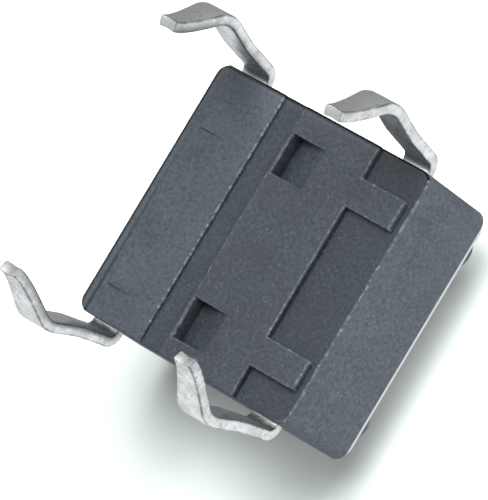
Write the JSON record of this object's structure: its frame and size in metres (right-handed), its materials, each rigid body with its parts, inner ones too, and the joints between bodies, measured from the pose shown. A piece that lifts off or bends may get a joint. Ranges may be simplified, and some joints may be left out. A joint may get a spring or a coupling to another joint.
{
  "type": "tactile push button switch",
  "caption": "Small square through-hole push button switch: moulded base, flat riveted cover plate, round button on a snap dome, and kinked snap-in leads.",
  "frame": {"origin": "middle of the housing's underside, on the plane that seats on the circuit board", "axes": "+Z towards the button, X along the 4.5 mm pitch of the leads, Y across the leads; the deep recess in the underside is at +X"},
  "size_m": [0.006, 0.0076, 0.0078],
  "materials": {
    "housing_plastic": "fine matte, dark blue-grey moulded thermoplastic",
    "button_plastic": "matte black moulded plastic",
    "cover_steel": "nickel-plated stamped steel, satin",
    "terminal_metal": "tin-plated brass, silvery, soft sheen",
    "dome_steel": "bright spring steel"
  },
  "bodies": {
    "housing": {"base": "housing_plastic", "cover_plate": "cover_steel", "snap_dome": "dome_steel", "centre_terminal": "terminal_metal", "rim_terminal": "terminal_metal"},
    "push_button": {"button": "button_plastic"}
  },
  "joints": [
    {"name": "button_press", "type": "slide", "parent": "housing", "child": "push_button", "axis": [0, 0, -1], "range_m": [0, 0.00025], "stiffness_N_per_m": 6400, "deforming": ["snap_dome"]}
  ]
}
